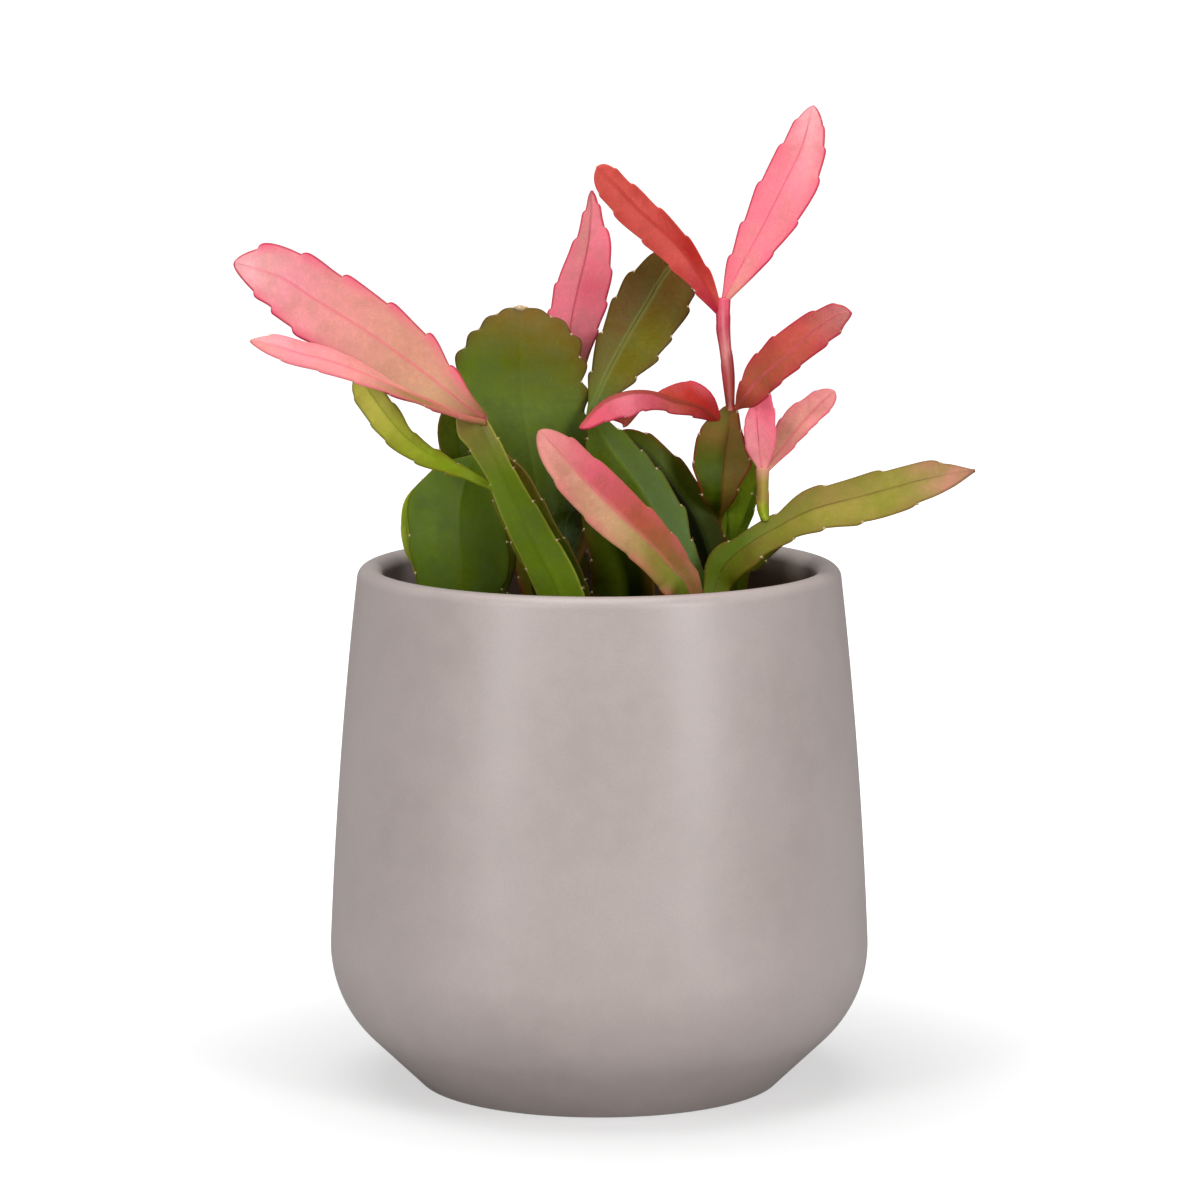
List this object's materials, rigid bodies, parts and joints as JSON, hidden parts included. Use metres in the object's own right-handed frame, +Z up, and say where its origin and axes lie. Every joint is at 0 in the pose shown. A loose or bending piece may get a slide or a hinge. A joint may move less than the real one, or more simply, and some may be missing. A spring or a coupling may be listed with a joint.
{
  "type": "potted rhipsalis",
  "caption": "Rhipsalis with flat toothed green segments and pink and coral new growth, in a round-bellied matt taupe stoneware pot",
  "frame": {"origin": "centre of the pot's underside, on the surface the pot stands on", "axes": "+Z up along the pot's axis, the plant's front faces -Y, +X is the viewer's right seen from the front"},
  "size_m": [0.193, 0.1685, 0.2613],
  "materials": {
    "ceramic_pot": "matt taupe-grey stoneware",
    "potting_mix": "dark, rough, barky",
    "green_segments": "waxy leaf green, satin",
    "olive_segments": "waxy olive green, satin",
    "yellow_green_segments": "waxy yellow-green, satin",
    "pink_segments": "waxy sun-flushed pink, satin",
    "rose_segments": "waxy rose pink, satin",
    "coral_segments": "waxy coral red, satin"
  },
  "bodies": {
    "root": {"ceramic_pot": "ceramic_pot", "potting_mix": "potting_mix", "strap_left": "green_segments", "strap_left_back": "green_segments", "pad_round": "green_segments", "strap_glaucous": "green_segments", "strap_arching": "green_segments", "strap_right_low": "green_segments", "strap_right_back": "green_segments", "pad_left": "green_segments", "blade_left_dark": "green_segments", "blade_centre_low": "green_segments", "strap_behind_pad": "green_segments", "strap_back_middle": "green_segments", "pad_back_left": "green_segments", "strap_back_right": "green_segments", "strap_over_back": "green_segments", "stem_wing_back": "green_segments", "strap_right": "olive_segments", "blade_olive": "olive_segments", "stem_winged": "olive_segments", "strap_back_left_long": "olive_segments", "strap_over_back_right": "olive_segments", "arm_yellow_green": "yellow_green_segments", "sliver_left": "yellow_green_segments", "stalk_green": "yellow_green_segments", "arm_pink_broad": "pink_segments", "arm_pink_slim": "pink_segments", "arm_rose_front": "pink_segments", "blade_rose_upright": "rose_segments", "arm_rose_tall": "rose_segments", "leaflet_rose": "rose_segments", "stem_pink": "coral_segments", "arm_coral": "coral_segments", "arm_coral_twisted": "coral_segments", "arm_rust": "coral_segments", "leaflet_coral": "coral_segments"}
  },
  "joints": []
}
